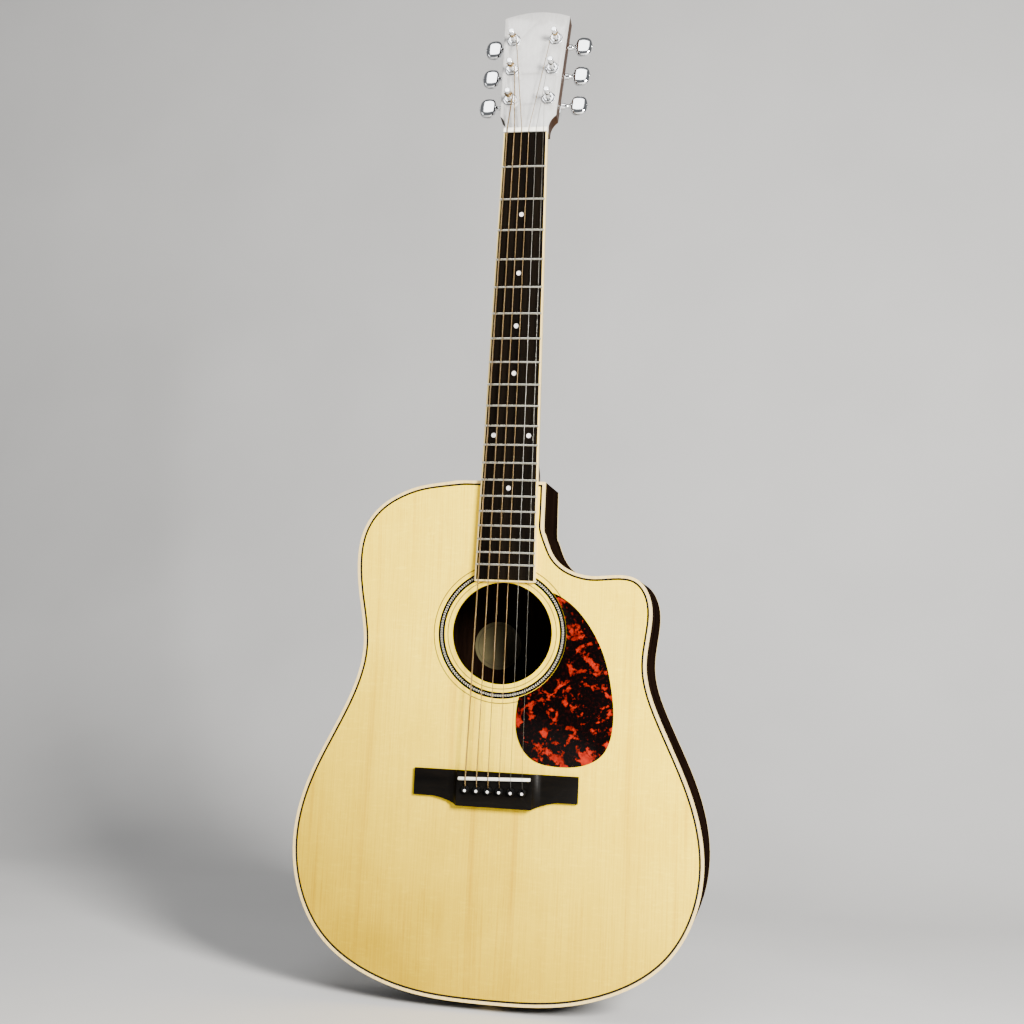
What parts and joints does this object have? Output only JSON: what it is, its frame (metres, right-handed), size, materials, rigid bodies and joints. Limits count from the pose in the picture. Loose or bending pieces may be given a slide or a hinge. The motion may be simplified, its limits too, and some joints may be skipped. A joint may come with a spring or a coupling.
{
  "type": "acoustic guitar",
  "caption": "Steel-string acoustic guitar with a rounded cutaway body, spruce top, bound fingerboard, tortoise pickguard and geared chrome tuners.",
  "frame": {"origin": "middle of the end pin's head, on the body's middle plane at the tail", "axes": "+X towards the treble side, +Y from the soundboard towards the back, +Z from the tail up the neck to the headstock"},
  "size_m": [0.407, 0.1178, 1.0198],
  "materials": {
    "spruce": "gloss lacquer",
    "rosewood": "gloss lacquer",
    "mahogany": "satin lacquer",
    "ebony": "oiled",
    "maple_binding": "gloss lacquer",
    "raw_spruce": "unfinished",
    "raw_mahogany": "unfinished",
    "black_plastic": "polished",
    "rosette_black_white": "gloss lacquer",
    "tortoise": "polished",
    "bone": "polished bone",
    "pearl": "pearl",
    "nickel_silver": "polished",
    "chrome": "polished plating",
    "steel": "plain",
    "bronze_string": "wound wire",
    "plain_string": "drawn wire",
    "head_face": "pale grey gloss lacquer",
    "paper": "aged"
  },
  "bodies": {
    "guitar": {"soundboard": "spruce", "back_plate": "rosewood", "side_bass": "rosewood", "side_treble": "rosewood", "top_binding": "maple_binding", "top_purfling": "black_plastic", "back_binding": "maple_binding", "top_lining": "raw_mahogany", "back_lining": "raw_mahogany", "neck_block": "raw_mahogany", "tail_block": "raw_mahogany", "end_graft": "maple_binding", "x_brace": "raw_spruce", "tone_bars": "raw_spruce", "finger_braces": "raw_spruce", "upper_brace": "raw_spruce", "bridge_plate": "rosewood", "back_braces": "raw_spruce", "back_center_strip": "rosewood", "paper_label": "paper", "rosette_herringbone": "rosette_black_white", "rosette_lines": "black_plastic", "pickguard": "tortoise", "bridge": "ebony", "saddle": "bone", "bridge_pins": "black_plastic", "bridge_pin_dots": "pearl", "end_pin": "black_plastic", "neck": "mahogany", "heel_cap": "maple_binding", "truss_rod": "steel", "fingerboard": "ebony", "fingerboard_binding": "maple_binding", "frets": "nickel_silver", "dot_inlays": "pearl", "nut": "bone", "headstock_veneer": "head_face", "tuner_housings": "chrome", "tuner_bushings": "chrome", "tuner_screws": "chrome", "string_6_low_e": "bronze_string", "string_5_a": "bronze_string", "string_4_d": "bronze_string", "string_3_g": "bronze_string", "string_2_b": "plain_string", "string_1_high_e": "plain_string"},
    "post_6_low_e": {"tuner_post_6_low_e": "chrome"},
    "knob_6_low_e": {"tuner_knob_6_low_e": "chrome"},
    "post_5_a": {"tuner_post_5_a": "chrome"},
    "knob_5_a": {"tuner_knob_5_a": "chrome"},
    "post_4_d": {"tuner_post_4_d": "chrome"},
    "knob_4_d": {"tuner_knob_4_d": "chrome"},
    "post_3_g": {"tuner_post_3_g": "chrome"},
    "knob_3_g": {"tuner_knob_3_g": "chrome"},
    "post_2_b": {"tuner_post_2_b": "chrome"},
    "knob_2_b": {"tuner_knob_2_b": "chrome"},
    "post_1_high_e": {"tuner_post_1_high_e": "chrome"},
    "knob_1_high_e": {"tuner_knob_1_high_e": "chrome"}
  },
  "joints": [
    {"name": "knob_turn_6_low_e", "type": "hinge", "parent": "guitar", "child": "knob_6_low_e", "pos_m": [-0.0203, -0.02223, 0.91324], "axis": [-1, 0, 0], "continuous": true},
    {"name": "post_turn_6_low_e", "type": "hinge", "parent": "guitar", "child": "post_6_low_e", "pos_m": [-0.0203, -0.02346, 0.90768], "axis": [0, -0.9763, 0.2164], "continuous": true},
    {"name": "knob_turn_5_a", "type": "hinge", "parent": "guitar", "child": "knob_5_a", "pos_m": [-0.0213, -0.01433, 0.94888], "axis": [-1, 0, 0], "continuous": true},
    {"name": "post_turn_5_a", "type": "hinge", "parent": "guitar", "child": "post_5_a", "pos_m": [-0.0213, -0.01556, 0.94331], "axis": [0, -0.9763, 0.2164], "continuous": true},
    {"name": "knob_turn_4_d", "type": "hinge", "parent": "guitar", "child": "knob_4_d", "pos_m": [-0.0224, -0.00643, 0.98451], "axis": [-1, 0, 0], "continuous": true},
    {"name": "post_turn_4_d", "type": "hinge", "parent": "guitar", "child": "post_4_d", "pos_m": [-0.0224, -0.00766, 0.97895], "axis": [0, -0.9763, 0.2164], "continuous": true},
    {"name": "knob_turn_3_g", "type": "hinge", "parent": "guitar", "child": "knob_3_g", "pos_m": [0.0224, -0.00643, 0.98451], "axis": [1, 0, 0], "continuous": true},
    {"name": "post_turn_3_g", "type": "hinge", "parent": "guitar", "child": "post_3_g", "pos_m": [0.0224, -0.00766, 0.97895], "axis": [0, -0.9763, 0.2164], "continuous": true},
    {"name": "knob_turn_2_b", "type": "hinge", "parent": "guitar", "child": "knob_2_b", "pos_m": [0.0213, -0.01433, 0.94888], "axis": [1, 0, 0], "continuous": true},
    {"name": "post_turn_2_b", "type": "hinge", "parent": "guitar", "child": "post_2_b", "pos_m": [0.0213, -0.01556, 0.94331], "axis": [0, -0.9763, 0.2164], "continuous": true},
    {"name": "knob_turn_1_high_e", "type": "hinge", "parent": "guitar", "child": "knob_1_high_e", "pos_m": [0.0203, -0.02223, 0.91324], "axis": [1, 0, 0], "continuous": true},
    {"name": "post_turn_1_high_e", "type": "hinge", "parent": "guitar", "child": "post_1_high_e", "pos_m": [0.0203, -0.02346, 0.90768], "axis": [0, -0.9763, 0.2164], "continuous": true}
  ],
  "couplings": [
    {"joint": "post_turn_6_low_e", "follows": "knob_turn_6_low_e", "ratio": 0.055556},
    {"joint": "post_turn_5_a", "follows": "knob_turn_5_a", "ratio": 0.055556},
    {"joint": "post_turn_4_d", "follows": "knob_turn_4_d", "ratio": 0.055556},
    {"joint": "post_turn_3_g", "follows": "knob_turn_3_g", "ratio": 0.055556},
    {"joint": "post_turn_2_b", "follows": "knob_turn_2_b", "ratio": 0.055556},
    {"joint": "post_turn_1_high_e", "follows": "knob_turn_1_high_e", "ratio": 0.055556}
  ]
}
